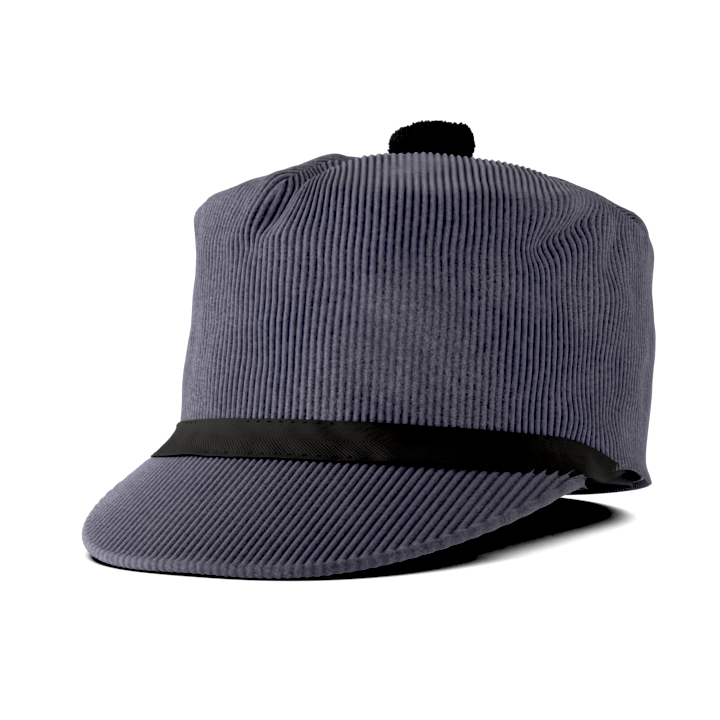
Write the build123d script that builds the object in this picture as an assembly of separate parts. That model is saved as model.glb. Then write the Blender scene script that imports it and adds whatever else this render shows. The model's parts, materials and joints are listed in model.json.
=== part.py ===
from build123d import *
import os
from math import atan2, cos, degrees, pi, radians, sin, sqrt, tan

# Newsboy cap: a tall four-cornered corduroy crown, a short sloped brim, a twill tape over
# their join and a yarn pom-pom on top.
#
# Built in the cap's own frame: X to the wearer's left, -Y to the front, Z up from the plane
# of the hem, with the hem oval's centre at (0, 0, 0). At the end the whole cap is tipped back
# to the attitude in which it rests on a table: on the brim's front edge and the back of the hem.
# Millimetres throughout.

# ---- Crown, over its outer face ----
HEM_HALF_WIDTH = 83.4        # hem oval, side to side
HEM_HALF_LENGTH = 100.6      # hem oval, front to back
OVAL = HEM_HALF_WIDTH / HEM_HALF_LENGTH
CROWN_HEIGHT = 117.0         # hem plane to the roof's middle
WALL_HEIGHT = 96.0           # hem plane to the fold between wall and shoulder
WALL_TAPER = 0.6             # degrees the wall leans inwards
SHOULDER_SLOPE = 21.0        # degrees the shoulder falls, front to back
ROOF_SLOPE = 3.0             # degrees the flatter middle falls
SHOULDER_BEND = 12.0         # radius of the fold between wall and shoulder
ROOF_BEND = 40.0             # radius of the bend between shoulder and middle
SIDE_SEAM_GAP = 0.3          # between the front and back panels

# ---- Layers of the crown, as depths below its outer face ----
CORDUROY_DEPTHS = (0.0, 1.8)
INTERLINING_DEPTHS = (2.0, 2.8)
LINING_DEPTHS = (3.0, 3.5)
STIFFENER_DEPTHS = (3.7, 4.7)
SWEATBAND_DEPTHS = (4.9, 5.9)
INNER_LAYERS_FOOT = 3.0      # height where interlining and lining start
STIFFENER_HEIGHTS = (3.0, 31.0)
SWEATBAND_HEIGHTS = (0.3, 35.0)
SWEATBAND_BACK_GAP = 0.4     # its two ends meet at the middle of the back

# ---- Brim ----
BRIM_ROOT_OFFSET = 13.0      # the brim's visible root lies this far in front of the crown
BRIM_HALF_WIDTH = 88.7       # of the rounded outline, at its widest line
BRIM_WIDEST = 49.0           # that line lies this far behind the hem oval's centre
BRIM_TIP = 159.8             # front edge, in front of the hem oval's centre
BRIM_BACK = 53.5             # the brim's two ends, in front of the hem oval's centre
BRIM_FALL = 0.657            # drop for each millimetre forward
BRIM_ROUNDNESS = 2.59        # exponent of the outline, 2 is an ellipse
TOP_COVER = 1.4              # thicknesses, measured straight down
BOARD = 1.0
UNDER_COVER = 1.1
BRIM_PLY_GAP = 0.1
BOARD_INSET = 2.4            # covers meet round the board's edge
BRIM_CROWN_GAP = 0.3
BRIM_TAPE_GAP = 0.3

# ---- Twill tape over the brim's join ----
TAPE_TOP_HEIGHT = 14.0
TAPE_FOOT_HEIGHT = 1.9
TAPE_TOP_OFFSET = 1.4        # outer face, out from the crown's hem oval
TAPE_THICKNESS = 0.8
TAPE_HALF_SWEEP = 66.0       # degrees round the crown each side of the front

# ---- Stitches ----
STITCH_SIZE = (2.4, 0.5, 0.5)
STITCH_CLEARANCE = 0.3
SWEATBAND_STITCH_HEIGHT = 3.0
SWEATBAND_STITCHES = 132
TAPE_STITCHES = 46

# ---- Pom-pom and its tie ----
POMPOM_RADIUS = 16.2
POMPOM_HALF_HEIGHT = 10.2
POMPOM_LIFT = 1.6            # its underside over the roof
KNOT_RADIUS = 1.5
KNOT_HEIGHT = CROWN_HEIGHT + 2.4
KNOT_CLEARANCE = 0.25
SHANK_RADIUS = 1.2
TIE_HOLE_RADIUS = 1.8
BUTTON_RADIUS = 8.0
BUTTON_THICKNESS = 1.6
BUTTON_GAP = 0.6             # button under the lining
TIE_OFF_RADIUS = 2.6

# ---- Care label, sewn in at the top of the sweatband's back ----
LABEL_WIDTH = 28.0
LABEL_HEIGHT = 20.0
LABEL_THICKNESS = 0.4
LABEL_GAP = 0.4              # between its corners and the sweatband
LABEL_TOP_HEIGHT = 34.0

BRIM_ROOT_HALF_LENGTH = HEM_HALF_LENGTH + BRIM_ROOT_OFFSET
BRIM_ROOT_HALF_WIDTH = BRIM_ROOT_HALF_LENGTH * OVAL
BRIM_THICKNESS = TOP_COVER + BOARD + UNDER_COVER + 2 * BRIM_PLY_GAP


# ---------------------------------------------------------------- crown

def wall_radius(depth, height):
    """Radius of the wall at a height, a depth below its outer face."""
    taper = radians(WALL_TAPER)
    return HEM_HALF_LENGTH - depth / cos(taper) - height * tan(taper)


def roof_height(depth, radius):
    """Height of the roof's middle at a radius, a depth below its outer face."""
    slope = radians(ROOF_SLOPE)
    return CROWN_HEIGHT - depth / cos(slope) - radius * tan(slope)


def shoulder_height(depth, radius):
    """Height of the sloping shoulder at a radius, a depth below its outer face."""
    slope = radians(SHOULDER_SLOPE)
    fall = (radius - wall_radius(0, WALL_HEIGHT)) * tan(slope)
    return WALL_HEIGHT - depth / cos(slope) - fall


def crossing(height_at, other_height_at):
    """Where two straight stretches, each a function of the radius, meet."""
    start, end = height_at(0), height_at(1)
    other_start, other_end = other_height_at(0), other_height_at(1)
    radius = (start - other_start) / ((other_end - other_start) - (end - start))
    return radius, height_at(radius)


def section_point(radius, height):
    return Vector(radius, 0, height)


def half_section(depth, foot):
    """Wall, shoulder and middle of the crown's half section, a depth below its outer face."""
    taper = radians(WALL_TAPER)
    fold = crossing(
        lambda radius: shoulder_height(depth, radius),
        lambda radius: (wall_radius(depth, 0) - radius) / tan(taper),
    )
    bend = crossing(
        lambda radius: roof_height(depth, radius),
        lambda radius: shoulder_height(depth, radius),
    )
    start = section_point(wall_radius(depth, foot), foot)
    end = section_point(TIE_HOLE_RADIUS, roof_height(depth, TIE_HOLE_RADIUS))
    line = FilletPolyline(
        start,
        section_point(*fold),
        section_point(*bend),
        end,
        radius=(SHOULDER_BEND - depth, ROOF_BEND - depth),
    )
    return line, start, end


def crown_shell(depths, foot):
    """Closed section between two depths, ready to be turned."""
    outer, outer_start, outer_end = half_section(depths[0], foot)
    inner, inner_start, inner_end = half_section(depths[1], foot)
    return make_face([outer, inner, Line(outer_start, inner_start), Line(outer_end, inner_end)])


def turned(section, start, sweep):
    """A section turned about Z from a compass angle (0 is +X) and squeezed to the head's oval."""
    ring = revolve(section, axis=Axis.Z, revolution_arc=sweep)
    return scale(Rot(Z=start) * ring, by=(OVAL, 1, 1))


def crown_panel(depths, foot, front):
    """Front or back half of one layer; the side seams run in the XZ plane."""
    side = -1 if front else 1
    start = 180 if front else 0
    section = crown_shell(depths, foot)
    half = turned(section, start, 90) + turned(section, start + 90, 90)
    return Pos(Y=side * SIDE_SEAM_GAP / 2) * half


def wall_band(depths, heights):
    """Section of a band that lies against the wall."""
    corners = [
        section_point(wall_radius(depth, height), height)
        for depth, height in (
            (depths[0], heights[0]),
            (depths[0], heights[1]),
            (depths[1], heights[1]),
            (depths[1], heights[0]),
        )
    ]
    return make_face(Polyline(*corners, close=True))


def headband_stiffener():
    return turned(wall_band(STIFFENER_DEPTHS, STIFFENER_HEIGHTS), 0, 360)


def sweatband():
    """A strip whose two ends meet at the middle of the back."""
    loop = turned(wall_band(SWEATBAND_DEPTHS, SWEATBAND_HEIGHTS), 0, 360)
    slot = Pos(Y=HEM_HALF_LENGTH) * Box(SWEATBAND_BACK_GAP, 30, 2 * SWEATBAND_HEIGHTS[1] + 10)
    return loop - slot


def care_label():
    """A flat blank strip that hangs across the curve of the sweatband, at the back."""
    radius = wall_radius(SWEATBAND_DEPTHS[1], LABEL_TOP_HEIGHT)
    corner = radius * sqrt(1 - (LABEL_WIDTH / 2 / (radius * OVAL)) ** 2)
    spot = Pos(0, corner - LABEL_GAP - LABEL_THICKNESS / 2, LABEL_TOP_HEIGHT - LABEL_HEIGHT / 2)
    return spot * Box(LABEL_WIDTH, LABEL_THICKNESS, LABEL_HEIGHT)


# ---------------------------------------------------------------- stitches

def stitch(radius, height, compass):
    """One stitch, laid along the oval at a compass angle (0 is +X)."""
    angle = radians(compass)
    spot = Vector(radius * OVAL * cos(angle), radius * sin(angle), height)
    heading = degrees(atan2(cos(angle), -OVAL * sin(angle)))
    return Pos(spot) * Rot(Z=heading) * Box(*STITCH_SIZE)


def sweatband_stitching():
    """One row inside the sweatband, clear of the gap between its ends."""
    depth = SWEATBAND_DEPTHS[1] + STITCH_CLEARANCE + STITCH_SIZE[1] / 2
    radius = wall_radius(depth, SWEATBAND_STITCH_HEIGHT)
    step = 360 / SWEATBAND_STITCHES
    angles = [90 + (index + 0.5) * step for index in range(SWEATBAND_STITCHES)]
    return Compound([stitch(radius, SWEATBAND_STITCH_HEIGHT, angle) for angle in angles])


def tape_line(along, out=0.0):
    """Radius and height on the tape's face: along 0 at its top to 1 at its foot."""
    top = (HEM_HALF_LENGTH + TAPE_TOP_OFFSET, TAPE_TOP_HEIGHT)
    foot = (BRIM_ROOT_HALF_LENGTH, TAPE_FOOT_HEIGHT)
    slant = atan2(top[1] - foot[1], foot[0] - top[0])
    radius = top[0] + along * (foot[0] - top[0]) + out * sin(slant)
    height = top[1] + along * (foot[1] - top[1]) + out * cos(slant)
    return radius, height


def tape_stitching():
    """A row near each edge of the tape."""
    span = 2 * (TAPE_HALF_SWEEP - 3)
    step = span / (TAPE_STITCHES - 1)
    stitches = []
    for along in (0.1, 0.9):
        radius, height = tape_line(along, out=STITCH_CLEARANCE + STITCH_SIZE[1] * 0.75)
        for index in range(TAPE_STITCHES):
            stitches.append(stitch(radius, height, 270 - span / 2 + index * step))
    return Compound(stitches)


# ---------------------------------------------------------------- tape

def herringbone_tape():
    corners = [
        section_point(*tape_line(along, out))
        for along, out in ((0, 0), (1, 0), (1, -TAPE_THICKNESS), (0, -TAPE_THICKNESS))
    ]
    section = make_face(Polyline(*corners, close=True))
    return turned(section, 270 - TAPE_HALF_SWEEP, 2 * TAPE_HALF_SWEEP)


# ---------------------------------------------------------------- brim

def root_line(x):
    """Distance of the brim's root in front of the hem oval's centre."""
    return BRIM_ROOT_HALF_LENGTH * sqrt(1 - (x / BRIM_ROOT_HALF_WIDTH) ** 2)


def brim_outline(inset):
    """Plan of the brim: the front of a rounded outline, cut straight across at the two ends."""
    half_width = BRIM_HALF_WIDTH - inset
    reach = BRIM_TIP - inset + BRIM_WIDEST
    front = []
    for index in range(33):
        angle = pi * index / 32
        across, ahead = cos(angle), sin(angle)
        x = half_width * abs(across) ** (2 / BRIM_ROUNDNESS) * (1 if across >= 0 else -1)
        y = BRIM_WIDEST - reach * abs(ahead) ** (2 / BRIM_ROUNDNESS)
        front.append(Vector(x, y, 0))
    whole = make_face([Spline(*front), Line(front[-1], front[0])])
    return whole & Pos(Y=-BRIM_BACK - 100) * Rectangle(2 * BRIM_HALF_WIDTH, 200)


def plan_prism(face):
    """A plan outline pulled up and down through the whole brim."""
    return Pos(Z=-120) * extrude(face, amount=240, dir=(0, 0, 1))


def brim_layer(top, thickness):
    """A curved sheet that falls forward, from a depth below the brim's top face."""
    arch = Ellipse(BRIM_ROOT_HALF_WIDTH, BRIM_FALL * BRIM_ROOT_HALF_LENGTH)
    strip = Pos(Y=-top) * arch - Pos(Y=-top - thickness) * arch
    window = Pos(Y=100) * Rectangle(2 * BRIM_HALF_WIDTH, 200)
    section = Plane.XZ * (strip & window)
    reach = Vector(0, -200, -200 * BRIM_FALL)
    return Solid.extrude(section.faces()[0], reach)


def over_tape():
    """Everything above the tape's inner face, where the brim has to stay below."""
    inwards = -TAPE_THICKNESS - BRIM_TAPE_GAP
    foot_radius, foot_height = tape_line(1, inwards)
    top_radius, top_height = tape_line(-0.3, inwards)
    corners = [
        section_point(foot_radius, foot_height),
        section_point(foot_radius, 80),
        section_point(top_radius, 80),
        section_point(top_radius, top_height),
    ]
    return turned(make_face(Polyline(*corners, close=True)), 0, 360)


def brim_ply(top, thickness, inset):
    """A layer trimmed to the brim's outline, to the crown behind it and to the tape over it."""
    crown_plan = Ellipse(
        HEM_HALF_WIDTH + BRIM_CROWN_GAP,
        HEM_HALF_LENGTH + BRIM_CROWN_GAP,
    )
    whole = brim_layer(top, thickness) & plan_prism(brim_outline(inset))
    return whole - plan_prism(crown_plan) - over_tape()


def brim_top_cover():
    """The upper cloth, with its edge turned down round the board."""
    turned_depth = BRIM_THICKNESS - UNDER_COVER - BRIM_PLY_GAP
    cover = brim_ply(0, turned_depth, 0)
    pocket = brim_layer(TOP_COVER, turned_depth) & plan_prism(brim_outline(BOARD_INSET))
    return cover - pocket


def brim_board():
    return brim_ply(TOP_COVER + BRIM_PLY_GAP, BOARD, BOARD_INSET + BRIM_PLY_GAP)


def brim_under_cover():
    return brim_ply(BRIM_THICKNESS - UNDER_COVER, UNDER_COVER, 0)


# ---------------------------------------------------------------- pom-pom

def button_top():
    return roof_height(LINING_DEPTHS[1], BUTTON_RADIUS) - BUTTON_GAP


def backing_button():
    button = Cylinder(BUTTON_RADIUS, BUTTON_THICKNESS)
    button = fillet(button.edges(), 0.6)
    button -= Cylinder(TIE_HOLE_RADIUS, 3 * BUTTON_THICKNESS)
    return Pos(Z=button_top() - BUTTON_THICKNESS / 2) * button


def pompom_shank():
    """Wound thread through the roof and the button, up to the knot that the pom-pom turns on."""
    top = KNOT_HEIGHT - KNOT_RADIUS - 0.1
    foot = button_top() - BUTTON_THICKNESS - 0.4
    return Pos(Z=(top + foot) / 2) * Cylinder(SHANK_RADIUS, top - foot)


def tie_off_knot():
    """The thread's end, knotted under the button."""
    centre = button_top() - BUTTON_THICKNESS - 0.5 - TIE_OFF_RADIUS * 0.7
    ball = scale(Sphere(TIE_OFF_RADIUS), by=(1, 1, 0.7))
    return Pos(Z=centre) * ball


def neck_knot():
    return Pos(Z=KNOT_HEIGHT) * Sphere(KNOT_RADIUS)


def pompom():
    """A squashed ball of yarn, with a pocket for the knot that it turns on."""
    centre = CROWN_HEIGHT + POMPOM_LIFT + POMPOM_HALF_HEIGHT
    squash = POMPOM_HALF_HEIGHT / POMPOM_RADIUS
    ball = Pos(Z=centre) * scale(Sphere(POMPOM_RADIUS), by=(1, 1, squash))
    return ball - Pos(Z=KNOT_HEIGHT) * Sphere(KNOT_RADIUS + KNOT_CLEARANCE)


# ---------------------------------------------------------------- the cap

def rest_pitch():
    """Degrees the cap tips back when its brim's edge and the back of its hem touch a table."""
    drop = BRIM_FALL * (BRIM_TIP - BRIM_ROOT_HALF_LENGTH) + BRIM_THICKNESS
    return degrees(atan2(drop, BRIM_TIP + HEM_HALF_LENGTH))


def build():
    return {
        "crown_front_panel": crown_panel(CORDUROY_DEPTHS, 0, True),
        "crown_back_panel": crown_panel(CORDUROY_DEPTHS, 0, False),
        "interlining_front": crown_panel(INTERLINING_DEPTHS, INNER_LAYERS_FOOT, True),
        "interlining_back": crown_panel(INTERLINING_DEPTHS, INNER_LAYERS_FOOT, False),
        "lining_front": crown_panel(LINING_DEPTHS, INNER_LAYERS_FOOT, True),
        "lining_back": crown_panel(LINING_DEPTHS, INNER_LAYERS_FOOT, False),
        "headband_stiffener": headband_stiffener(),
        "sweatband": sweatband(),
        "sweatband_stitching": sweatband_stitching(),
        "herringbone_tape": herringbone_tape(),
        "tape_stitching": tape_stitching(),
        "brim_top_cover": brim_top_cover(),
        "brim_board": brim_board(),
        "brim_under_cover": brim_under_cover(),
        "backing_button": backing_button(),
        "pompom_shank": pompom_shank(),
        "tie_off_knot": tie_off_knot(),
        "neck_knot": neck_knot(),
        "pompom": pompom(),
        "care_label": care_label(),
    }


def at_rest(parts):
    """Tip the cap back and stand it with the middle of its box's base at the origin."""
    tipped = {name: Rot(X=-rest_pitch()) * shape for name, shape in parts.items()}
    box = Compound(list(tipped.values())).bounding_box()
    middle = box.center()
    shift = Vector(-middle.X, -middle.Y, -box.min.Z)
    print("pitch", round(rest_pitch(), 3), "hem centre at", [round(v, 3) for v in shift])
    print("size", [round(v, 2) for v in box.size])
    return {name: Pos(shift) * shape for name, shape in tipped.items()}


os.makedirs("parts", exist_ok=True)
for node, shape in at_rest(build()).items():
    export_step(shape, f"parts/{node}.step")
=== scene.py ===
import json
from math import cos, hypot, pi, radians, sin, sqrt, tan

import bmesh
import bpy
import numpy as np
from mathutils import Matrix, Vector


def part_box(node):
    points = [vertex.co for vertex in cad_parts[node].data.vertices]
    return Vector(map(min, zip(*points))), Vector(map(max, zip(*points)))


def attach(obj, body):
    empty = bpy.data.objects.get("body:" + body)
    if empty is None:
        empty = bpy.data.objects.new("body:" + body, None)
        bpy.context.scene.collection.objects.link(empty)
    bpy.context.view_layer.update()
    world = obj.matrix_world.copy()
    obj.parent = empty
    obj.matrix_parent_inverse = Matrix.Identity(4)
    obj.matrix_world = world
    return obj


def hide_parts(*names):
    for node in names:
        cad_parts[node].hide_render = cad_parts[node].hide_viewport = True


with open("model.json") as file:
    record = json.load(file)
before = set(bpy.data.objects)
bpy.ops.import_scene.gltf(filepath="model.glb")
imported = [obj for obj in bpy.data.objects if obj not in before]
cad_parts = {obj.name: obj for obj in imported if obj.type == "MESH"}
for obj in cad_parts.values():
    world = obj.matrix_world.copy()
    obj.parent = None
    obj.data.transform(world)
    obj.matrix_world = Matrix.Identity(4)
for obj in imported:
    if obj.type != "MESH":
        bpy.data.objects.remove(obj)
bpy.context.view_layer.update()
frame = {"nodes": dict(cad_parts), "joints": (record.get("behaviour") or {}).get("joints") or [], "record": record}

# Corduroy newsboy cap. Shapes are worked out in the cap's own millimetres: x to the wearer's
# left, y to the back (the brim is at -y), z up from the hem's plane, 0 at the hem oval's
# centre. place() takes them to the shared frame. Angles round the crown run from the front
# towards the wearer's left.

# ---------------------------------------------------------------- dimensions, millimetres

HEM_HALF_WIDTH = 83.4
HEM_HALF_LENGTH = 100.6
OVAL = HEM_HALF_WIDTH / HEM_HALF_LENGTH
CROWN_HEIGHT = 117.0
WALL_HEIGHT = 97.0
WALL_TAPER = radians(0.6)
SHOULDER_SLOPE = radians(21.0)
ROOF_SLOPE = radians(3.0)
FOLD_SOFTNESS = 5.0          # rounds the folds between wall, shoulder and middle
# the last seam is the first again
SEAMS = [radians(angle) for angle in (-80.0, -15.0, 92.0, 182.0, 280.0)]
LIPS = ((2.4, 1.8), (1.8, 2.2), (0.4, 2.6), (3.0, 3.0))   # the cloth's height on a seam's two sides
FLAPS = [radians(angle) for angle in (-46.0, 30.0, 137.0, 231.0)]   # where each flap heads

WALE_PITCH = 2.6
WALE_POSTS = (0.0, 0.12, 0.3, 0.5, 0.7, 0.88)   # mesh columns across one wale
RIDGE = 0.36                 # a wale's ridge over the cloth's middle level
VALLEY = 0.42                # its valley under that level
CLOTH = 1.1                  # backing under the middle level

# layers inside, as depths below the corduroy's middle level
INTERLINING = (1.7, 2.3)
LINING = (2.6, 3.1)
STIFFENING = (3.4, 4.0)
SWEATBAND = (4.4, 5.3)
STIFFENING_TOP = 31.0
SWEATBAND_TOP = 35.0
SWEATBAND_STITCHES = 150
STITCH_ROW = (3.0, 5.45)     # height and depth

HEM_LIFT = 7.4               # the hem is drawn up at the tape's ends
HEM_DROP = 1.4               # and hangs down at the back, to rest on the ground

BRIM_ROOT_HALF_WIDTH = 94.2
BRIM_ROOT_HALF_LENGTH = 113.6
BRIM_HALF_WIDTH = 88.7       # of the rounded outline, at its widest line
BRIM_WIDEST = 49.0           # that line lies this far behind the hem oval's centre
BRIM_ENDS = 83.2             # half the width where the outline meets the tape
BRIM_TIP = 159.8
BRIM_FALL = 0.688
BRIM_SIDE_LIFT = 0.205       # how much less it falls at its sides
BRIM_ROUNDNESS = 2.59
BRIM_THICKNESS = 4.0
BRIM_BACKING = 0.9           # of each cover, under the middle level
BOARD_DEPTH = 1.2            # under the brim's upper face
BOARD_THICKNESS = 1.1

TAPE_TOP = (1.3, 14.0)       # out from the hem oval, height
TAPE_FOOT = (13.0, 1.5)
TAPE_THICKNESS = 0.8
TAPE_HOLLOW = 1.5            # over 1, the tape is steep at its top and spreads at its foot
TAPE_CLEARANCE = 1.6         # of the brim's face under the tape
TAPE_ENDS = (radians(-88.0), radians(88.0))
CHEVRON_PITCH = 1.15
CHEVRON_RELIEF = 0.28

POMPOM_RADIUS = 15.4
POMPOM_HALF_HEIGHT = 8.4
POMPOM_SEAT = 1.25           # how much fuller it is where it sits on the cap
POMPOM_LUMPS = (             # towards, how much fuller there, how wide
    ((-0.3, -0.15, 1), -0.2, 0.4),
    ((0.6, 0.3, 0.8), 0.15, 0.5),
    ((-0.75, -0.35, 0.55), 0.07, 0.45),
)
TUFTS = 7000
TUFT_RADII = (0.55, 0.7, 0.42)   # at its root, middle and tip

LABEL_TOP = 34.0
LABEL_DROP = 20.0
LABEL_BACK = 92.2            # its distance behind the hem oval's centre

# ---------------------------------------------------------------- frame

opening = next(m for m in frame["record"]["mounts"] if m["name"] == "head_opening")
hem_centre = np.array(opening["pos_m"])
up = -np.array(opening["axis"])
side = np.array([1.0, 0.0, 0.0])
back = np.cross(up, side)
cap_axes = np.array([side, back, up])


def place(points):
    """Cap millimetres to the shared frame, in metres."""
    return hem_centre + (np.asarray(points, float) @ cap_axes) / 1000


# ---------------------------------------------------------------- mesh helpers

def ripple(points, size, seed, waves=28):
    """Smooth noise of about -1 to 1, with bumps about `size` across."""
    rng = np.random.default_rng(seed)
    heading = rng.normal(size=(waves, points.shape[-1])) * pi / size
    phase = rng.uniform(0, 2 * pi, waves)
    return np.cos(points @ heading.T + phase).sum(-1) / sqrt(waves)


def bump(x, centre, width):
    return np.exp(-(((x - centre) / width) ** 2))


def ramp(x, low, high):
    """0 below low, 1 above high, smooth between."""
    t = np.clip((x - low) / (high - low), 0, 1)
    return t * t * (3 - 2 * t)


def unit(v):
    return v / np.maximum(np.linalg.norm(v, axis=-1, keepdims=True), 1e-12)


def grid_normals(points):
    """Normals of a grid of points; where it is pinched or turned over, those of the row before."""
    normals = np.cross(np.gradient(points, axis=0), np.gradient(points, axis=1))
    size = np.linalg.norm(normals, axis=-1)
    for row in range(1, points.shape[1]):
        turned = (normals[:, row] * normals[:, row - 1]).sum(-1) < 0
        pinched = turned | (size[:, row] < 1e-3)
        normals[pinched, row] = normals[pinched, row - 1]
    return unit(normals)


def add_object(name, vertices, faces, values=None):
    """A smooth-shaded mesh object; values are named numbers, one for each vertex."""
    mesh = bpy.data.meshes.new(name)
    mesh.from_pydata(place(vertices).tolist(), [], [list(map(int, f)) for f in faces])
    for key, data in (values or {}).items():
        mesh.attributes.new(key, "FLOAT", "POINT").data.foreach_set("value", np.ravel(data))
    mesh.polygons.foreach_set("use_smooth", [True] * len(mesh.polygons))
    mesh.update()
    obj = bpy.data.objects.new(name, mesh)
    bpy.context.scene.collection.objects.link(obj)
    return obj


def grid_faces(columns, rows, closed=False, start=0):
    """Quads of a grid whose point (i, j) has the number start + i * rows + j."""
    i = np.arange(columns if closed else columns - 1)[:, None]
    j = np.arange(rows - 1)[None, :]
    k = (i + 1) % columns
    quads = (i * rows + j, k * rows + j, k * rows + j + 1, i * rows + j + 1)
    return np.stack(np.broadcast_arrays(*quads), -1).reshape(-1, 4) + start


def shell_object(name, outer, inner, closed=False, values=None):
    """A closed piece between two grids of the same shape, whose outer faces look outwards."""
    columns, rows = outer.shape[:2]
    count = columns * rows
    faces = [grid_faces(columns, rows, closed), grid_faces(columns, rows, closed, count)[:, ::-1]]
    ring = np.arange(columns if closed else columns - 1)
    following = (ring + 1) % columns
    for row, flip in ((0, True), (rows - 1, False)):
        a, b = ring * rows + row, following * rows + row
        strip = np.stack([a, b, b + count, a + count], -1)
        faces.append(strip[:, ::-1] if flip else strip)
    if not closed:
        line = np.arange(rows - 1)
        for column, flip in ((0, False), (columns - 1, True)):
            a = column * rows + line
            strip = np.stack([a, a + 1, a + 1 + count, a + count], -1)
            faces.append(strip[:, ::-1] if flip else strip)
    vertices = np.concatenate([outer.reshape(-1, 3), inner.reshape(-1, 3)])
    both = {key: np.concatenate([np.ravel(v), np.ravel(v)]) for key, v in (values or {}).items()}
    obj = add_object(name, vertices, np.concatenate(faces), both)
    weld(obj)
    return obj


def weld(obj):
    """Joins points in the same place and drops the faces that this leaves with no area."""
    work = bmesh.new()
    work.from_mesh(obj.data)
    bmesh.ops.remove_doubles(work, verts=work.verts, dist=2e-6)
    bmesh.ops.dissolve_degenerate(work, edges=work.edges, dist=1e-7)
    bmesh.ops.recalc_face_normals(work, faces=work.faces)
    work.to_mesh(obj.data)
    work.free()


def finish_piece(obj, material, nodes, body="cap"):
    """Gives a piece its material, the body it rides on and the CAD nodes it stands for."""
    obj.data.materials.clear()
    obj.data.materials.append(material)
    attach(obj, body)
    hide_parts(*nodes)


# ---------------------------------------------------------------- materials

SHADER_INPUTS = {
    "specular": "Specular IOR Level",
    "sheen": "Sheen Weight",
    "sheen_roughness": "Sheen Roughness",
    "sheen_tint": "Sheen Tint",
}


class Nodes:
    """Short forms for building a node tree."""

    def __init__(self, name):
        self.material = bpy.data.materials.new(name)
        self.material.use_nodes = True
        self.tree = self.material.node_tree
        self.shader = self.tree.nodes["Principled BSDF"]

    def add(self, kind, inputs=None, **settings):
        node = self.tree.nodes.new("ShaderNode" + kind)
        for key, value in settings.items():
            setattr(node, key, value)
        for key, value in (inputs or {}).items():
            self.put(node.inputs[key], value)
        return node

    def put(self, socket, value):
        if isinstance(value, bpy.types.NodeSocket):
            self.tree.links.new(value, socket)
        else:
            socket.default_value = value

    def value(self, key):
        return self.add("Attribute", attribute_name=key).outputs["Fac"]

    def place(self, stretch=(1, 1, 1)):
        where = self.add("TexCoord").outputs["Object"]
        return self.add("Mapping", {"Vector": where, "Scale": stretch}).outputs["Vector"]

    def noise(self, scale, detail=2.0, stretch=(1, 1, 1), roughness=0.5):
        inputs = {
            "Vector": self.place(stretch),
            "Scale": scale,
            "Detail": detail,
            "Roughness": roughness,
        }
        return self.add("TexNoise", inputs).outputs["Fac"]

    def math(self, operation, a, b=0.0):
        return self.add("Math", {0: a, 1: b}, operation=operation).outputs[0]

    def span(self, value, low, high, out_low=0.0, out_high=1.0):
        inputs = {
            "Value": value,
            "From Min": low,
            "From Max": high,
            "To Min": out_low,
            "To Max": out_high,
        }
        return self.add("MapRange", inputs).outputs["Result"]

    def mix(self, share, a, b):
        node = self.add("Mix", data_type="RGBA")
        for socket, value in ((node.inputs[0], share), (node.inputs[6], a), (node.inputs[7], b)):
            self.put(socket, value)
        return node.outputs[2]

    def bump(self, height, distance, strength):
        inputs = {"Height": height, "Distance": distance, "Strength": strength}
        return self.add("Bump", inputs).outputs["Normal"]

    def surface(self, color, roughness, normal=None, **more):
        self.put(self.shader.inputs["Base Color"], color)
        self.put(self.shader.inputs["Roughness"], roughness)
        if normal is not None:
            self.put(self.shader.inputs["Normal"], normal)
        for key, value in more.items():
            self.put(self.shader.inputs[SHADER_INPUTS[key]], value)
        return self.material


def grey(level):
    return (level, level, level, 1.0)


def corduroy_material(name="corduroy", painted_light_across=None):
    """Cut pile: dark between the wales, lighter and dusty on them, with crushed patches.

    painted_light_across, where given, is painted light: the brightness at two places across the cap, paler towards
    one side to stand for light falling unevenly on it, and with less painted shade in the valleys.
    """
    n = Nodes(name)
    wale = n.value("wale")
    fibres = n.noise(1500, 3.0, roughness=0.75)
    tufts = n.noise(620, 2.0)
    patches = n.noise(34, 3.0)
    # painted shade: the valleys' colour is darker than the cloth's own, standing for the shade between the wales;
    # less so on the brim
    valley = (0.05, 0.05, 0.076, 1) if painted_light_across else (0.022, 0.023, 0.041, 1)
    ridge = (0.146, 0.141, 0.178, 1)
    dusty = (0.21, 0.203, 0.232, 1)
    height = n.math("ADD", wale, n.span(tufts, 0.3, 0.7, -0.16, 0.16))
    color = n.mix(n.span(height, 0.05, 0.9), valley, ridge)
    dust = n.math("MULTIPLY", n.span(patches, 0.42, 0.62), n.span(fibres, 0.42, 0.68))
    color = n.mix(n.math("MULTIPLY", dust, 0.55), color, dusty)
    speck = n.span(fibres, 0.35, 0.65, 0.7, 1.3)
    # painted light: a brightness painted across the cap, paler towards one side
    if painted_light_across:
        across = n.add("SeparateXYZ", {0: n.place()}).outputs["X"]
        (start, start_level), (end, end_level) = painted_light_across
        speck = n.math("MULTIPLY", speck, n.span(across, start, end, start_level, end_level))
    color = n.mix(1.0, color, n.add("CombineColor", {0: speck, 1: speck, 2: speck}).outputs[0])
    color.node.blend_type = "MULTIPLY"
    pile = n.bump(n.math("ADD", fibres, n.math("MULTIPLY", tufts, 0.7)), 0.0004, 0.9)
    return n.surface(
        color, 0.92, pile,
        sheen=0.25, sheen_roughness=0.35, sheen_tint=(0.84, 0.83, 0.92, 1),
        specular=0.06,
    )


def woven_material(name, dark, light, scale, stretch=(1, 1, 1)):
    """Plain or twill cloth: fine crossed noise in colour and relief."""
    n = Nodes(name)
    threads = n.noise(scale, 2.0, stretch)
    cross = n.noise(scale, 2.0, stretch[::-1])
    patches = n.noise(40, 3.0)
    weave = n.math("MULTIPLY", threads, cross)
    color = n.mix(n.span(weave, 0.12, 0.42), dark, light)
    color = n.mix(n.span(patches, 0.35, 0.7, 0.0, 0.3), color, dark)
    return n.surface(color, 0.8, n.bump(weave, 0.0002, 0.8), specular=0.3)


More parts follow.
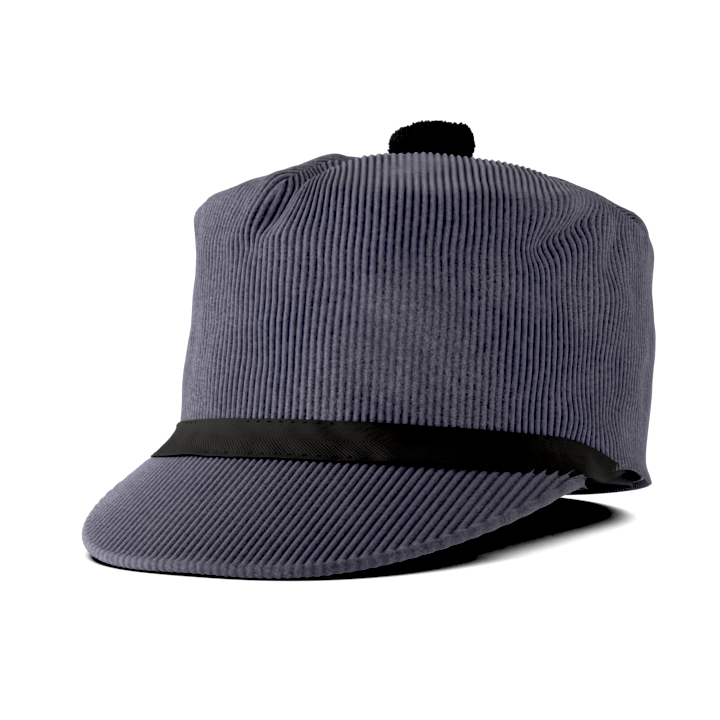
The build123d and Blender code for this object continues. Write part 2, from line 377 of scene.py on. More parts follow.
def herringbone_material():
    """Black twill tape: the chevron ridges are in the mesh, their yarn is here."""
    n = Nodes("herringbone")
    ridge = n.value("chevron")
    yarn = n.noise(2400, 3.0, roughness=0.7)
    color = n.mix(n.span(ridge, 0.25, 0.9), grey(0.019), (0.037, 0.036, 0.035, 1))
    color = n.mix(n.span(yarn, 0.45, 0.75, 0, 0.35), color, (0.034, 0.033, 0.032, 1))
    return n.surface(color, 0.7, n.bump(yarn, 0.00012, 0.7), specular=0.04)


def yarn_material():
    n = Nodes("yarn")
    fibres = n.noise(1800, 3.0)
    color = n.mix(n.span(fibres, 0.4, 0.75), (0.008, 0.008, 0.009, 1), (0.034, 0.033, 0.036, 1))
    return n.surface(
        color, 0.9, n.bump(fibres, 0.0002, 0.6),
        specular=0.1, sheen=0.015, sheen_roughness=0.6,
    )


def thread_material():
    n = Nodes("thread")
    twist = n.add("TexWave", {"Vector": n.place(), "Scale": 900, "Distortion": 1.5})
    color = n.mix(twist.outputs["Fac"], grey(0.022), (0.05, 0.049, 0.048, 1))
    return n.surface(color, 0.8, n.bump(twist.outputs["Fac"], 0.0001, 0.6), specular=0.04)


def plastic_material(name, base, worn):
    n = Nodes(name)
    haze = n.noise(220, 4.0)
    color = n.mix(n.span(haze, 0.4, 0.7), base, worn)
    return n.surface(color, n.span(haze, 0.3, 0.7, 0.4, 0.6), n.bump(haze, 0.0001, 0.3))


corduroy = corduroy_material()
# painted light: the brim is painted paler towards the wearer's right and darker towards its left, standing for the
# light falling on it
brim_corduroy_painted_light = corduroy_material("brim_corduroy_painted_light", ((-0.065, 1.65), (0.015, 0.64)))
herringbone = herringbone_material()
yarn = yarn_material()
thread = thread_material()
twill = woven_material("twill", (0.004, 0.004, 0.005, 1), (0.022, 0.022, 0.024, 1), 1300, (1, 1, 0.3))
lining_cloth = woven_material("lining", (0.012, 0.012, 0.015, 1), (0.05, 0.05, 0.058, 1), 1600)
interlining_cloth = woven_material("interlining", grey(0.5), grey(0.68), 700)
buckram = woven_material("buckram", (0.4, 0.35, 0.26, 1), (0.62, 0.56, 0.44, 1), 500)
label_cloth = woven_material("label", grey(0.55), grey(0.75), 2200, (1, 1, 0.2))
board_plastic = plastic_material("board", (0.62, 0.62, 0.6, 1), (0.72, 0.72, 0.7, 1))
button_plastic = plastic_material("button", grey(0.012), grey(0.03))


# ---------------------------------------------------------------- crown

def profile_table():
    """The crown's half section, radius and height against length along it."""
    rim = HEM_HALF_LENGTH - WALL_HEIGHT * tan(WALL_TAPER)
    rise = CROWN_HEIGHT - WALL_HEIGHT - rim * tan(SHOULDER_SLOPE)
    bend = rise / (tan(ROOF_SLOPE) - tan(SHOULDER_SLOPE))
    corners = np.array([
        (HEM_HALF_LENGTH, 0),
        (rim, WALL_HEIGHT),
        (bend, CROWN_HEIGHT - bend * tan(ROOF_SLOPE)),
        (0, CROWN_HEIGHT),
    ])
    reach = np.concatenate([[0], np.cumsum(np.linalg.norm(np.diff(corners, axis=0), axis=1))])
    step = 0.25
    length = np.arange(-30, reach[-1] + 30, step)
    inside = np.clip(length, 0, reach[-1])
    line = np.stack([np.interp(inside, reach, corners[:, k]) for k in (0, 1)])
    line[1] += np.minimum(length, 0)
    line[0] -= np.maximum(length - reach[-1], 0)
    kernel = bump(np.arange(-24, 24 + step, step), 0, FOLD_SOFTNESS * sqrt(2))
    line = np.array([np.convolve(row, kernel / kernel.sum(), "same") for row in line])
    keep = (length >= 0) & (length <= reach[-1])
    radius, height = line[:, keep]
    height -= height[0]
    length = np.concatenate([[0], np.cumsum(np.hypot(np.diff(radius), np.diff(height)))])
    return length, radius, height


PROFILE_LENGTH, PROFILE_RADIUS, PROFILE_HEIGHT = profile_table()


def along_profile(length):
    radius = np.interp(length, PROFILE_LENGTH, PROFILE_RADIUS)
    return radius, np.interp(length, PROFILE_LENGTH, PROFILE_HEIGHT)


def length_at_radius(radius):
    return np.interp(-radius, -PROFILE_RADIUS, PROFILE_LENGTH)


RIM_LENGTH = 88.0            # along the section, where the wales start to turn over
RIM_RADIUS = along_profile(RIM_LENGTH)[0]
FRONT_SEAM = 1
WALL_RADIUS = 92.0           # on which the wall is unrolled to draw creases on it

# Creases are lines on the unrolled wall: depth outwards or sideways, start, end, width. Their
# ends are millimetres round from the front and up from the hem.
LIFT_CREASES = (
    (-3.6, (87, 76), (112, 92), 4.0),
    (2.0, (84, 88), (104, 99), 6.0),
    (-1.8, (118, 70), (132, 94), 5.0),
    (-1.3, (-92, 66), (-78, 92), 6.0),
    (-1.6, (-30, 70), (-18, 88), 6.0),
)
SWAY_CREASES = (
    (-2.5, (82, 76), (114, 93), 8.0),
    (2.2, (96, 22), (128, 14), 7.0),
    (-1.6, (100, 8), (140, 30), 7.0),
    (1.6, (118, 52), (138, 84), 9.0),
)
# Full or hollow places: depth outwards, angle and its spread, way along the section and its spread.
HOLLOWS = (
    (1.2, -63, 6, RIM_LENGTH + 7, 5),
    (0.6, 101, 6, RIM_LENGTH + 7, 5),
    (2.0, -178, 6, RIM_LENGTH + 7, 5),
    (-1.2, -54, 30, 66, 16),
    (3.2, 100, 26, -2, 7),
)


def oval_lengths(start, end):
    """Angles between two, and the hem's length up to each, in its half lengths."""
    angle = np.linspace(start, end, 721)
    step = np.hypot(np.diff(OVAL * np.sin(angle)), np.diff(np.cos(angle)))
    return angle, np.concatenate([[0], np.cumsum(step)])


def oval_angles(start, end, fractions):
    """Angles that share out the hem's length between two angles in given fractions."""
    angle, length = oval_lengths(start, end)
    return np.interp(np.asarray(fractions) * length[-1], length, angle)


def oval_length(start, end):
    return oval_lengths(start, end)[1][-1] * HEM_HALF_LENGTH


def wale_height(fraction):
    """A wale's section from 0 in one valley to 0 in the next, 1 on its ridge."""
    return np.abs(np.sin(pi * np.asarray(fraction))) ** 1.5


class Crown:
    """A stretch of the crown's cloth: columns follow the wales, rows run from hem to seam."""

    def __init__(self, start_seam, end_seam, posts=WALE_POSTS, wall_rows=38, roof_rows=36, foot=0.0):
        angles, middles, spans, wales = [], [], [], []
        for flap in range(start_seam, end_seam):
            first, last, middle = SEAMS[flap], SEAMS[flap + 1], FLAPS[flap]
            count = round(oval_length(first, last) / WALE_PITCH)
            fractions = (np.arange(count)[:, None] + np.array(posts)).ravel() / count
            angle = oval_angles(first, last, fractions)
            angles.append(angle)
            middles.append(np.full(len(angle), middle))
            spans.append(np.where(angle > middle, last - middle, middle - first))
            wales.append(np.tile(wale_height(np.array(posts)), count))
        angles.append([SEAMS[end_seam]])
        middles.append([middles[-1][-1]])
        spans.append([spans[-1][-1]])
        wales.append([0.0])
        self.angle = np.concatenate(angles)
        self.middle = np.concatenate(middles)
        self.span = np.concatenate(spans)
        self.wale = np.concatenate(wales)[:, None] * np.ones(wall_rows + roof_rows)
        self.lay(wall_rows, roof_rows, foot)

    def lay(self, wall_rows, roof_rows, foot):
        """Points of the smooth crown. Over the rim each wale runs straight to its seam."""
        angle = self.angle[:, None]
        bend = angle - self.middle[:, None]
        last_radius = RIM_RADIUS * np.abs(np.sin(bend)) / np.sin(self.span[:, None])
        last = np.maximum(length_at_radius(np.clip(last_radius, 1.9, RIM_RADIUS)), RIM_LENGTH)
        wall = np.linspace(foot, RIM_LENGTH, wall_rows, endpoint=False) + 0 * angle
        roof = RIM_LENGTH + (last - RIM_LENGTH) * np.linspace(0, 1, roof_rows)
        self.along = np.concatenate([wall, roof], axis=1)
        radius, height = along_profile(self.along)
        rim = np.minimum(radius, RIM_RADIUS)
        inwards = RIM_RADIUS * np.cos(bend)
        root = np.sqrt(np.maximum(inwards ** 2 - RIM_RADIUS ** 2 + rim ** 2, 0))
        travel = np.where(radius < RIM_RADIUS, inwards - root, 0.0)
        scale = np.where(radius < RIM_RADIUS, RIM_RADIUS, radius)
        middle = self.middle[:, None]
        x = scale * np.sin(angle) - travel * np.sin(middle)
        y = -(scale * np.cos(angle) - travel * np.cos(middle))
        self.points = soft_crown(np.stack([x, y], -1), height, self.along)
        self.normals = grid_normals(self.points)

    def layer(self, depth):
        return self.points - self.normals * depth


def seam_distance(flat, seam):
    """How far a point of the plan lies from a seam's line, towards the wearer's left of it."""
    direction = np.array([sin(seam), -cos(seam)])
    out = flat @ direction
    off = flat[..., 1] * direction[0] - flat[..., 0] * direction[1]
    return np.where(out > 0, off, 1e3 * np.sign(off + 1e-9))


def crease(across, up, start, end, width, blunt=8.0):
    """1 on a straight line drawn on the unrolled wall, fading off to its sides and ends."""
    start, end = np.array(start), np.array(end)
    length = np.linalg.norm(end - start)
    heading = (end - start) / length
    spot = np.stack([across - start[0], up - start[1]], -1)
    run = spot @ heading
    off = spot[..., 0] * heading[1] - spot[..., 1] * heading[0]
    ends = ramp(run, -blunt, blunt) * ramp(-run, -length - blunt, -length + blunt)
    return bump(off, 0, width) * ends


def creases(angle, along, table):
    across = np.radians(angle) * WALL_RADIUS
    return sum(depth * crease(across, along, *line) for depth, *line in table)


def slumped(flat, angle, along):
    """The flap beside the front seam sags over it where the cloth turns over the rim."""
    turn = radians(8) * ramp(along, 76, 98) * ramp(-along, -138, -102)
    turn = turn * bump(angle, -15, np.where(angle > -15, 13, 34))
    x = flat[..., 0] * np.cos(turn) - flat[..., 1] * np.sin(turn)
    y = flat[..., 0] * np.sin(turn) + flat[..., 1] * np.cos(turn)
    return x, y


def seam_lift(flat, radius, along, over):
    """Each seam pulls a valley into the roof and the cloth stands up on both sides of it."""
    lift = np.zeros_like(radius)
    for number, seam in enumerate(SEAMS[:-1]):
        off = seam_distance(flat, seam)
        reach = ramp(radius, 3, 26) * over * ramp(-radius, -101, -91)
        if number == FRONT_SEAM:
            reach = reach * ramp(-radius, -66, -30)
            fold = ramp(radius, 30, 60) * ramp(along, 72, 88)
            lift += fold * (2.0 * bump(off, -5, 7) - 2.4 * bump(off, 6, 6))
        before, after = LIPS[number]
        lips = np.where(off < 0, before, after) * bump(np.abs(off), 12, 8)
        lift += reach * (lips - 4.2 * bump(off, 0, 4.5))
    return lift


def slack_lift(smooth, angle, along):
    """Full and hollow places of the cloth, outwards from the smooth crown."""
    lift = creases(angle, along, LIFT_CREASES)
    for depth, at_angle, spread, at_length, reach in HOLLOWS:
        lift += depth * bump(angle, at_angle, spread) * bump(along, at_length, reach)
    wall = ramp(-along, -RIM_LENGTH, -RIM_LENGTH + 20)
    lift += 2.0 * wall * bump(angle, 108, 38) * bump(along, 45, 22)
    lift += 0.7 * ripple(smooth, 38, 3) * ramp(along, 10, 40)
    return lift + 0.25 * ripple(smooth, 13, 4) * ramp(along, 12, 34)


def slack_sway(smooth, angle, along):
    """How far the wales wander sideways, towards the wearer's left."""
    sway = 0.45 * ripple(smooth, 40, 7) * ramp(along, 14, 50)
    sway += creases(angle, along, SWAY_CREASES)
    return sway + 4.0 * bump(np.abs(angle), 82, 18) * bump(along, 6, 13) * np.sign(angle)


def sunk(angle, radius, along):
    """How far the cloth sinks: the roof sags, and the hem is drawn up at its sides."""
    low = 6.5 * bump(angle, 18, 34) * (radius / 100) ** 3
    low += 1.0 * bump(angle, -6, 60) * ramp(radius, 8, 40)
    low += 3.0 * bump(angle, -40, 22) * bump(radius, 80, 26)
    low *= ramp(along, 62, RIM_LENGTH + 4)
    turn = np.abs(angle)
    drawn = 0.6 * bump(turn, 83, 13) + 0.4 * bump(turn, 100, 30)
    low -= HEM_LIFT * drawn * bump(along, 0, 12)
    return low + HEM_DROP * ramp(turn, 130, 170) * bump(along, 0, 9)


def soft_crown(flat, height, along):
    """Turns the smooth crown into cloth: seam valleys, full flaps, a dart and slack folds."""
    radius = np.linalg.norm(flat, axis=-1)
    angle = np.degrees(np.arctan2(flat[..., 0], -flat[..., 1]))
    over = ramp(along, RIM_LENGTH - 8, RIM_LENGTH + 12)
    x, y = slumped(flat, angle, along)
    smooth = np.stack([x * OVAL, y, height], -1)
    normals = grid_normals(smooth)
    lift = seam_lift(flat, radius, along, over) + slack_lift(smooth, angle, along)
    sway = slack_sway(smooth, angle, along) * (1 - over)
    tangent = unit(np.gradient(smooth, axis=0) + 1e-9)
    cloth = smooth + normals * lift[..., None] + tangent * sway[..., None]
    cloth[..., 2] -= sunk(angle, radius, along)
    return cloth


def crown_panel(name, first, last, node):
    crown = Crown(first, last)
    crushed = 0.6 * ramp(ripple(crown.points, 30, 19), 0.3, 1.8)
    front = bump(np.degrees(crown.angle)[:, None], 24, 16) * bump(crown.along, 42, 28)
    crushed = np.maximum(crushed, 0.62 * front)
    lift = (crown.wale * (RIDGE + VALLEY) - VALLEY) * (1 - crushed)
    outer = crown.points + crown.normals * lift[..., None]
    inner = crown.layer(CLOTH)
    pile = crown.wale + (0.6 - crown.wale) * crushed
    obj = shell_object(name, outer, inner, values={"wale": pile})
    finish_piece(obj, corduroy, nodes=[node])


def crown_layer(name, depths, material, first, last, node):
    """A thin layer under the corduroy, from just over the hem to the seams."""
    crown = Crown(first, last, posts=(0.0, 0.5), wall_rows=22, roof_rows=22, foot=3.0)
    obj = shell_object(name, crown.layer(depths[0]), crown.layer(depths[1]))
    finish_piece(obj, material, nodes=[node])


def add_crown():
    for half, (first, last) in {"front": (0, 2), "back": (2, 4)}.items():
        crown_panel("crown_" + half, first, last, f"crown_{half}_panel")
        crown_layer("stiff_layer_" + half, INTERLINING, interlining_cloth,
                    first, last, "interlining_" + half)
        crown_layer("lining_cloth_" + half, LINING, lining_cloth,
                    first, last, "lining_" + half)


# ---------------------------------------------------------------- inside of the hem

def wall_point(angle, height, depth):
    """On the plain wall, a depth below its outer face."""
    radius = HEM_HALF_LENGTH - depth - height * tan(WALL_TAPER)
    return np.stack([OVAL * radius * np.sin(angle), -radius * np.cos(angle), height + 0 * angle], -1)


def ring_band(name, low, high, depths, rows=26, columns=360):
    """A closed band round the inside of the hem; low is a function of the angle."""
    angle = np.linspace(0, 2 * pi, columns, endpoint=False)[:, None]
    share = np.linspace(0, 1, rows)
    height = low(angle) + (high - low(angle)) * share
    slack = 0.25 * ripple(wall_point(angle + 0 * height, height, 0), 26, 41)
    outer = wall_point(angle + 0 * height, height, depths[0] + slack)
    inner = wall_point(angle + 0 * height, height, depths[1] + slack)
    return shell_object(name, outer, inner, closed=True)


def from_front(angle):
    """How far an angle is from the front, either way."""
    return np.abs((angle + pi) % (2 * pi) - pi)


def sweatband_foot(angle):
    """The sweatband shows under the hem at the sides, where the hem is drawn up."""
    return 0.6 + 1.2 * ramp(from_front(angle), radians(70), radians(110))


def stiffener_foot(angle):
    """The stiffening stays hidden there."""
    return 3.0 + 9.0 * bump(from_front(angle), radians(92), radians(34))


def add_headband():
    sweat = ring_band("sweatband_cloth", sweatband_foot, SWEATBAND_TOP, SWEATBAND)
    finish_piece(sweat, twill, nodes=["sweatband"])
    stiff = ring_band("headband_stiffening", stiffener_foot, STIFFENING_TOP, STIFFENING, 8, 240)
    finish_piece(stiff, buckram, nodes=["headband_stiffener"])


def add_tube(vertices, faces, rings):
    """Adds a closed tube through rings of points to lists of vertices and faces."""
    base, sides = len(vertices), len(rings[0])
    for ring in rings:
        vertices.extend(ring)
    for start in range(base, len(vertices) - sides, sides):
        for t in range(sides):
            u = (t + 1) % sides
            faces.append([start + t, start + u, start + sides + u, start + sides + t])
    faces.append([base + t for t in reversed(range(sides))])
    faces.append([len(vertices) - sides + t for t in range(sides)])


def ring_points(centre, across, other, radius, sides):
    turn = np.arange(sides)[:, None] * 2 * pi / sides
    return centre + radius * (np.cos(turn) * across + np.sin(turn) * other)


def stitch_row(name, spots, headings, ups, length=2.4, width=0.42):
    """Short threads lying on cloth: each dips at its ends."""
    vertices, faces = [], []
    for spot, heading, lift in zip(spots, headings, ups):
        across = np.cross(lift, heading)
        rings = []
        for along in np.linspace(-0.5, 0.5, 6):
            radius = width / 2 * (1 - (2 * along) ** 4) ** 0.5 + 0.02
            centre = spot + heading * along * length - lift * 0.9 * along ** 2
            rings.append(ring_points(centre, across, lift, radius, 6))
        add_tube(vertices, faces, rings)
    return add_object(name, np.array(vertices), faces)


def add_sweatband_stitches():
    share = (np.arange(SWEATBAND_STITCHES) + 0.5) / SWEATBAND_STITCHES
    angle = oval_angles(pi, 3 * pi, share)
    spots = wall_point(angle, *STITCH_ROW)
    heading = unit(wall_point(angle + 0.01, *STITCH_ROW) - spots)
    inwards = np.cross(heading, [0, 0, 1.0])
    inwards *= -np.sign((inwards * spots).sum(-1, keepdims=True))
    obj = stitch_row("sweatband_stitch_row", spots, heading, inwards)
    finish_piece(obj, thread, nodes=["sweatband_stitching"])


def add_label():
    """A blank strip of satin tape that hangs from the sweatband's top at the back."""
    low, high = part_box("care_label")
    width = high[0] - low[0]
    across = np.linspace(-1, 1, 30)[:, None]
    down = np.linspace(0, 1, 24)[None, :]
    x = across * width * 500 + 0 * down
    z = LABEL_TOP - LABEL_DROP * down + 0 * across
    y = LABEL_BACK + 0.15 * across ** 2 - 0.5 * ramp(down, 0.2, 1.0) * down + 0 * across
    outer = np.stack([x, y + 0.18, z], -1)
    inner = np.stack([x, y - 0.18, z], -1)
    obj = shell_object("care_tag", outer, inner)
    finish_piece(obj, label_cloth, body="care_label", nodes=["care_label"])


# ---------------------------------------------------------------- brim

def brim_root(x):
    return BRIM_ROOT_HALF_LENGTH * np.sqrt(np.maximum(1 - (x / BRIM_ROOT_HALF_WIDTH) ** 2, 0))


def brim_height(x, ahead):
    """The brim's upper face: it falls forwards, a little less at its sides."""
    fall = BRIM_FALL - BRIM_SIDE_LIFT * (x / BRIM_HALF_WIDTH) ** 2
    height = -fall * (ahead - brim_root(x))
    out = np.hypot(x / OVAL, ahead) - HEM_HALF_LENGTH
    share = np.clip((out - TAPE_TOP[0]) / (TAPE_FOOT[0] - TAPE_TOP[0]), 0, 1) ** (1 / TAPE_HOLLOW)
    under_tape = TAPE_TOP[1] + (TAPE_FOOT[1] - TAPE_TOP[1]) * share - TAPE_CLEARANCE
    return np.where(out < TAPE_FOOT[0], np.minimum(height, under_tape), height)


def brim_edge(x):
    """How far ahead the outline is."""
    share = np.abs(x / BRIM_HALF_WIDTH) ** BRIM_ROUNDNESS
    return (BRIM_TIP + BRIM_WIDEST) * (1 - share) ** (1 / BRIM_ROUNDNESS) - BRIM_WIDEST


def brim_columns():
    """Widths across the brim: along every wale, and closer where the outline turns back."""
    count = round(2 * BRIM_ENDS / WALE_PITCH)
    x = ((np.arange(count)[:, None] + np.array(WALE_POSTS)).ravel() / count * 2 - 1) * BRIM_ENDS
    x = np.append(x, BRIM_ENDS)
    for _ in range(5):
        gap = np.hypot(np.diff(x), np.diff(brim_edge(x)))
        wide = np.flatnonzero(gap > 1.3)
        x = np.sort(np.append(x, (x[wide] + x[wide + 1]) / 2))
    share = (x / BRIM_ENDS + 1) / 2 * count
    return x, wale_height(share % 1)


def brim_plan(x, inset):
    """Outline points, set in by a distance, with the outline's outward direction."""
    edge = np.stack([x, -brim_edge(x)], -1)
    along = np.gradient(edge, axis=0)
    outwards = unit(np.stack([along[:, 1], -along[:, 0]], -1))
    outwards *= np.sign((outwards * edge).sum(-1, keepdims=True))
    return edge - outwards * inset, outwards


def brim_inner(x):
    """Where a column starts, hidden under the tape."""
    wall = HEM_HALF_LENGTH * np.sqrt(np.maximum(1 - (x / HEM_HALF_WIDTH) ** 2, 0)) + 0.4
    beside_tape = np.abs(x) / OVAL / tan(radians(63.5))
    return np.maximum(np.maximum(wall, brim_root(x) - 12), beside_tape)


def brim_grid(x, rows, top=True, wrap_rows=0, tuck=0.0):
    """Columns from under the tape to the edge, and for the top cover round it and under."""
    half = BRIM_THICKNESS / 2
    rim, outwards = brim_plan(x, half)
    start = np.stack([x, -brim_inner(x)], -1)
    share = np.linspace(0, 1, rows) ** 0.85
    flat = start[:, None] + (rim - start)[:, None] * share[None, :, None]
    height = brim_height(flat[..., 0], -flat[..., 1]) - (0 if top else BRIM_THICKNESS)
    points = [np.concatenate([flat, height[..., None]], -1)]
    if wrap_rows:
        turn = np.linspace(0, pi, wrap_rows + 1)[1:]
        out = rim[:, None] + outwards[:, None] * (half * np.sin(turn))[None, :, None]
        z = brim_height(rim[:, 0], -rim[:, 1])[:, None] - half * (1 - np.cos(turn))
        points.append(np.concatenate([out, z[..., None]], -1))
        back_in = rim[:, None] - outwards[:, None] * np.linspace(0, tuck, 4)[None, 1:, None]
        z = brim_height(back_in[..., 0], -back_in[..., 1]) - 2 * half
        points.append(np.concatenate([back_in, z[..., None]], -1))
    return np.concatenate(points, axis=1)


def add_brim():
    x, wale = brim_columns()
    rows = 34
    top = brim_grid(x, rows, wrap_rows=7, tuck=3.0)
    lift = wale * (RIDGE + VALLEY) - VALLEY
    normals = -grid_normals(top)
    at_rim = 1 - 0.7 * ramp(np.arange(top.shape[1]), rows - 3, rows + 2)   # the wales flatten there
    shade = wale[:, None] + (0.75 - wale[:, None]) * (1 - at_rim) * 0.8
    outer = top + normals * (lift[:, None] * at_rim)[..., None]
    obj = shell_object("brim_cover", outer, top - normals * BRIM_BACKING, values={"wale": shade})
    finish_piece(obj, brim_corduroy_painted_light, nodes=["brim_top_cover"])
    under = brim_grid(x, 30, top=False)
    normals = grid_normals(under)
    outer = under + normals * (lift[:, None, None] - 0.2)
    obj = shell_object("brim_underside", outer, under - normals * BRIM_BACKING,
                       values={"wale": wale[:, None] + np.zeros(under.shape[1])})
    finish_piece(obj, brim_corduroy_painted_light, nodes=["brim_under_cover"])
    x = np.linspace(-BRIM_ENDS + 3, BRIM_ENDS - 3, 120)
    board = brim_grid(x, 20)
    board[..., 2] -= BOARD_DEPTH
    obj = shell_object("brim_stiffener", board, board - [0, 0, BOARD_THICKNESS])
    finish_piece(obj, board_plastic, nodes=["brim_board"])


# ---------------------------------------------------------------- tape

def tape_grid(columns, rows, out=0.0):
    """The tape from its top edge to its foot, with the distance along it and up from its foot."""
    angle = oval_angles(*TAPE_ENDS, np.linspace(0, 1, columns))[:, None]
    along = np.linspace(0, oval_length(*TAPE_ENDS), columns)[:, None]
    share = np.linspace(0, 1, rows)[None, :]
    turn = np.degrees(np.abs(angle))
    in_top, in_foot = ramp(turn, 60, 88), ramp(turn, 63, 77)
    top_out = TAPE_TOP[0] - 2.0 * ramp(turn, 78, 90)
    foot_out = TAPE_FOOT[0] - 2.5 * ramp(turn, 35, 58)
    foot_out += (1.5 - foot_out) * in_foot - 2.0 * ramp(turn, 78, 90)
    top_height = TAPE_TOP[1] + 0.6 - (TAPE_TOP[1] - HEM_LIFT + 1.5) * in_top
    foot_height = TAPE_FOOT[1] + 0.2 - 1.1 * in_foot + 5.0 * ramp(turn, 72, 88)
    rise, run = top_height - foot_height, foot_out - top_out
    slant = np.arctan2(rise, run)
    offset = top_out + share ** TAPE_HOLLOW * run + out * np.sin(slant)
    height = top_height - share * rise + out * np.cos(slant)
    radius = HEM_HALF_LENGTH + offset
    points = np.stack([radius * OVAL * np.sin(angle), -radius * np.cos(angle), height], -1)
    return points, along, (1 - share) * np.hypot(rise, run)


def add_tape():
    columns, rows = 900, 58
    points, along, up = tape_grid(columns, rows)
    width = hypot(TAPE_FOOT[0] - TAPE_TOP[0], TAPE_TOP[1] - TAPE_FOOT[1])
    across = up - width / 2
    wobble = 0.12 * ripple(np.stack(np.broadcast_arrays(along, across), -1), 7, 3)
    phase = (along - 1.05 * np.abs(across) + wobble) / CHEVRON_PITCH
    ridge = np.abs(np.cos(phase * pi)) ** 0.8
    selvedge = ramp(np.abs(across), width / 2 - 1.5, width / 2 - 1.1)
    cords = 0.5 + 0.5 * np.cos(along * 2 * pi / 0.8)
    chevron = ridge * (1 - selvedge) + selvedge * (0.45 + 0.25 * cords)
    chevron = chevron * (1 - 0.2 * bump(across, 0, 0.18))
    normals = grid_normals(points)
    if normals[columns // 2, rows // 2, 1] > 0:
        normals = -normals
    slack = 0.35 * ripple(points, 24, 11) + 0.15 * ripple(points, 9, 12)
    outer = points + normals * (chevron * CHEVRON_RELIEF + slack)[..., None]
    inner = points + normals * (slack - TAPE_THICKNESS + 0.2)[..., None]
    obj = shell_object("twill_tape", outer, inner, values={"chevron": chevron})
    finish_piece(obj, herringbone, nodes=["herringbone_tape"])


def add_tape_stitches():
    spots, headings, ups = [], [], []
    points = tape_grid(260, 13, out=0.3)[0]
    normals = grid_normals(points)
    for row in (1, 11):
        for column in range(50, 212, 4):
            spot = points[column, row]
            spots.append(spot)
            headings.append(unit(points[column + 1, row] - spot))
            normal = normals[column, row]
            ups.append(normal * np.sign(normal @ np.array([spot[0], spot[1], 40])))
    obj = stitch_row("tape_stitch_rows", spots, headings, ups, 1.7, 0.26)
    finish_piece(obj, thread, nodes=["tape_stitching"])


# ---------------------------------------------------------------- pom-pom

def tuft_headings(rng):
    """Directions spread evenly over a ball, a little at random."""
    index = np.arange(TUFTS) + 0.5
    tilt = np.arccos(1 - 2 * index / TUFTS)
    turn = pi * (1 + sqrt(5)) * index
    away = np.stack([np.cos(turn) * np.sin(tilt), np.sin(turn) * np.sin(tilt), np.cos(tilt)], -1)
    return unit(away + rng.normal(0, 0.05, away.shape))


def pompom_fullness(away):
    """How full the clipped ball is in each direction."""
    lump = 1 + 0.05 * ripple(away, 0.9, 23) + 0.025 * ripple(away, 0.3, 29)
    dent = 1
    for toward, amount, width in POMPOM_LUMPS:
        dent = dent + amount * bump(np.linalg.norm(away - unit(np.array(toward)), axis=-1), 0, width)
    seat = np.where(away[:, 2:] < 0, [1, 1, POMPOM_SEAT], 1)
    return seat * (lump * dent)[:, None]


def add_pompom():
    """A clipped ball of yarn: some thousands of short tufts from its core outwards."""
    knot = next(j for j in frame["joints"] if j["name"] == "pompom_sway")["pos_m"]
    foot = (np.array(knot) - hem_centre) @ np.linalg.inv(cap_axes) * 1000
    rng = np.random.default_rng(17)
    middle = foot + [0, 0, POMPOM_HALF_HEIGHT - 0.4]
    size = np.array([POMPOM_RADIUS, POMPOM_RADIUS, POMPOM_HALF_HEIGHT])
    away = tuft_headings(rng)
    tips = middle + away * size * pompom_fullness(away)
    roots = middle + away * size * 0.62
    leans = rng.normal(0, 0.34, away.shape)
    vertices, faces = [], []
    for root, tip, lean in zip(roots, tips, leans):
        path = [root, (root + tip) / 2 + lean * 0.5, tip + lean]
        heading = unit(path[2] - path[0])
        across = unit(np.cross(heading, [0.3, 0.5, 0.81]))
        other = np.cross(heading, across)
        rings = [
            ring_points(spot, across, other, radius, 5)
            for spot, radius in zip(path, TUFT_RADII)
        ]
        add_tube(vertices, faces, rings)
    obj = add_object("pompom_tufts", np.array(vertices), faces)
    finish_piece(obj, yarn, body="pompom", nodes=["pompom"])


def paint_small_parts():
    """The rigid and wound pieces of the tie keep their shapes and get their materials."""
    for node, material in {
        "backing_button": button_plastic,
        "pompom_shank": thread,
        "tie_off_knot": thread,
        "neck_knot": thread,
    }.items():
        obj = frame["nodes"][node]
        obj.data.materials.clear()
        obj.data.materials.append(material)


add_crown()
add_headband()
add_sweatband_stitches()
add_label()
add_brim()
add_tape()
add_tape_stitches()
add_pompom()
paint_small_parts()


# ---------------------------------------------------------------- size, camera, light

CAMERA_AZIMUTH = radians(25.464)
CAMERA_ELEVATION = radians(1.158)
CAMERA_DISTANCE = 0.6197     # along the view, to the hem's centre
HEM_IN_VIEW = (0.02046, -0.0448)   # the hem's centre, right and up of the view's middle
LENS = 82.5
SUN = 4.3
SUN_FROM = (-0.88, -0.48, 0.4)


def add_camera():
    looks = Vector((
        -sin(CAMERA_AZIMUTH) * cos(CAMERA_ELEVATION),
        cos(CAMERA_AZIMUTH) * cos(CAMERA_ELEVATION),
        -sin(CAMERA_ELEVATION),
    ))
    right = Vector((cos(CAMERA_AZIMUTH), sin(CAMERA_AZIMUTH), 0))
    above = right.cross(looks)
    data = bpy.data.cameras.new("camera")
    data.lens = LENS
    data.sensor_width = 36
    data.clip_start = 0.01
    camera = bpy.data.objects.new("camera", data)
    spot = Vector(hem_centre) - looks * CAMERA_DISTANCE
    spot -= right * HEM_IN_VIEW[0] + above * HEM_IN_VIEW[1]
    turn = Matrix((right, above, -looks)).transposed()
    camera.matrix_world = Matrix.Translation(spot) @ turn.to_4x4()
    bpy.context.scene.collection.objects.link(camera)
    bpy.context.scene.camera = camera


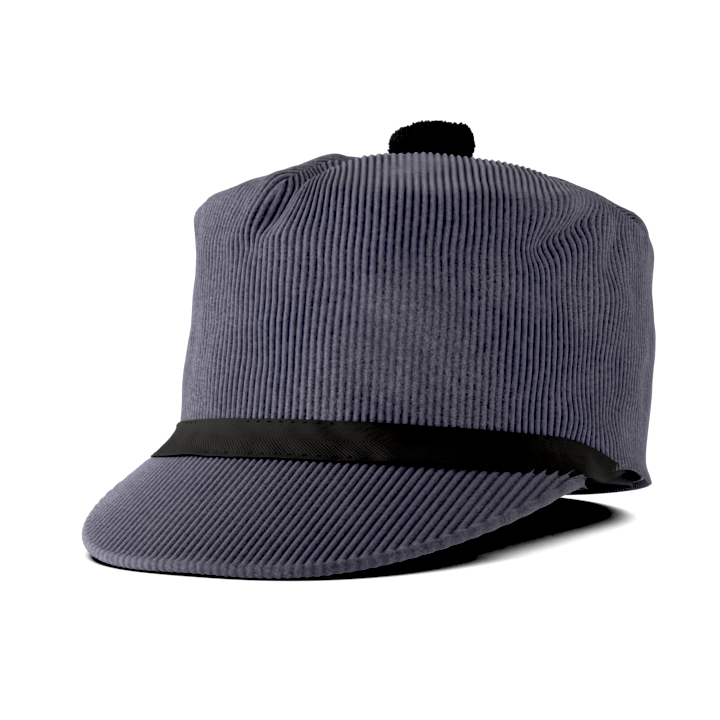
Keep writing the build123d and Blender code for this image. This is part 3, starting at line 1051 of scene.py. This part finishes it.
def add_light(name, spot, size, power, aim):
    data = bpy.data.lights.new(name, "AREA")
    data.shape = "RECTANGLE"
    data.size, data.size_y = size
    data.energy = power
    light = bpy.data.objects.new(name, data)
    light.location = spot
    light.rotation_euler = (Vector(aim) - Vector(spot)).to_track_quat("-Z", "Y").to_euler()
    bpy.context.scene.collection.objects.link(light)


def studio_world():
    """White round the horizon and dimmer overhead, so the brim is darker than the wall."""
    world = bpy.data.worlds.new("studio")
    world.use_nodes = True
    tree = world.node_tree
    where = tree.nodes.new("ShaderNodeTexCoord").outputs["Generated"]
    split = tree.nodes.new("ShaderNodeSeparateXYZ")
    tree.links.new(where, split.inputs[0])
    level = tree.nodes.new("ShaderNodeMapRange")
    level.interpolation_type = "SMOOTHSTEP"
    tree.links.new(split.outputs["Z"], level.inputs["Value"])
    for key, value in (("From Min", 0.24), ("From Max", 0.5), ("To Min", 1.1), ("To Max", 0.44)):
        level.inputs[key].default_value = value
    tree.links.new(level.outputs["Result"], tree.nodes["Background"].inputs["Strength"])
    tree.nodes["Background"].inputs["Color"].default_value = (1, 1, 1, 1)
    return world


def floor_material():
    """A glowing white table with a painted shadow: its glow fades to dark where the cap stands close over it."""
    n = Nodes("floor")
    openness = n.add("AmbientOcclusion", {"Distance": 0.16}, samples=32).outputs["AO"]
    n.put(n.shader.inputs["Emission Color"], grey(1.0))
    # painted shadow: the glow is dimmed by how closed-in each spot of the floor is
    n.put(n.shader.inputs["Emission Strength"], n.span(openness, 0.27, 0.48, 0.0, 1.06))
    return n.surface(grey(0.0), 1.0, specular=0.0)


def add_sun():
    data = bpy.data.lights.new("sun", "SUN")
    data.energy = SUN
    data.angle = radians(36)
    lamp = bpy.data.objects.new("sun", data)
    lamp.rotation_euler = Vector(SUN_FROM).to_track_quat("Z", "Y").to_euler()
    bpy.context.scene.collection.objects.link(lamp)


def add_studio():
    scene = bpy.context.scene
    view = scene.view_settings
    view.view_transform = "Standard"
    view.use_curve_mapping = True
    view.curve_mapping.black_level = (0.03, 0.03, 0.03)
    view.curve_mapping.update()
    scene.world = studio_world()
    bpy.ops.mesh.primitive_plane_add(size=60, location=(0, 0, 0))
    floor = bpy.context.object
    floor.name = "floor"
    floor.data.materials.append(floor_material())
    add_sun()
    add_light("rim", (0.9, 0.75, 0.5), (0.6, 0.6), 6, (0, 0, 0.08))


add_camera()
add_studio()
